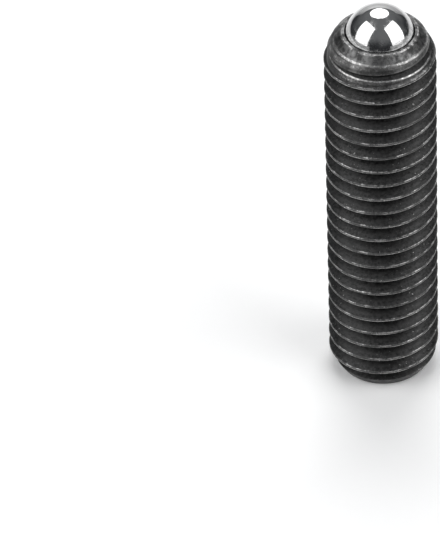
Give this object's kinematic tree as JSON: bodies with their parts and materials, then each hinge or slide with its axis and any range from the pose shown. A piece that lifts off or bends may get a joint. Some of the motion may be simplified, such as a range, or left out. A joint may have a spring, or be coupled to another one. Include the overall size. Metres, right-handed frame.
{
  "type": "spring plunger",
  "caption": "Ball-nosed spring plunger: threaded steel body with a hex socket end and a sprung ball held in a crimped nose.",
  "frame": {"origin": "centre of the rim at the hex socket end, on which the plunger stands", "axes": "+Z along the body axis, from the socket end to the ball; X and Y are across the body"},
  "size_m": [0.0078, 0.0078, 0.0318],
  "materials": {
    "black_steel": "black oxide, worn bright along the thread crests",
    "polished_ball": "ground and polished bearing steel",
    "spring_wire": "drawn spring wire"
  },
  "bodies": {
    "screw": {"body": "black_steel", "spring": "spring_wire"},
    "nose_ball": {"ball": "polished_ball"}
  },
  "joints": [
    {"name": "ball_press", "type": "slide", "parent": "screw", "child": "nose_ball", "axis": [0, 0, -1], "range_m": [0, 0.0018], "stiffness_N_per_m": 10800, "springref_m": -0.0017, "deforming": ["spring"]}
  ]
}
